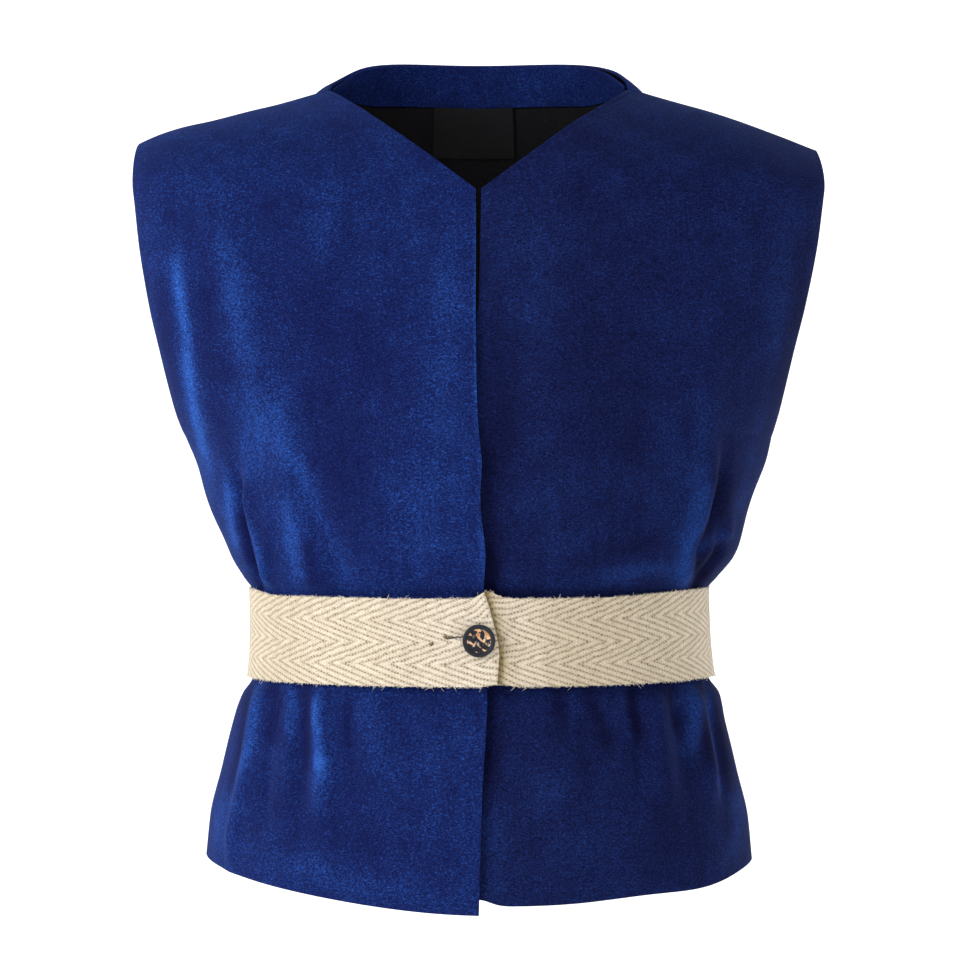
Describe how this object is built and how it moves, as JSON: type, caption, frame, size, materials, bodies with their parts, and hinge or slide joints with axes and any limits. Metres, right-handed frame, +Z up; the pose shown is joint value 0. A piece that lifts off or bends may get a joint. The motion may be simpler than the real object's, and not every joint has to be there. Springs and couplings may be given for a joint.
{
  "type": "velvet waistcoat",
  "caption": "Child's sleeveless velvet waistcoat with a V neck, gathered at the waist by a buttoned herringbone tape belt.",
  "frame": {"origin": "base of the neck on the centre plane, level with the shoulder-neck points, where the wearer's shoulders hold the garment", "axes": "+Z up, the front faces -Y, +X is the wearer's left"},
  "size_m": [0.3374, 0.1948, 0.4202],
  "materials": {
    "velvet": "royal blue velvet pile",
    "lining": "black woven lining",
    "label": "black woven label, bare",
    "tape": "natural linen herringbone tape",
    "button": "dark marbled with an amber centre"
  },
  "bodies": {
    "root": {"front_right": "velvet", "front_left": "velvet", "back": "velvet", "back_lining": "lining", "back_neck_facing": "velvet", "neck_label": "label", "belt": "tape", "button": "button"}
  },
  "joints": []
}
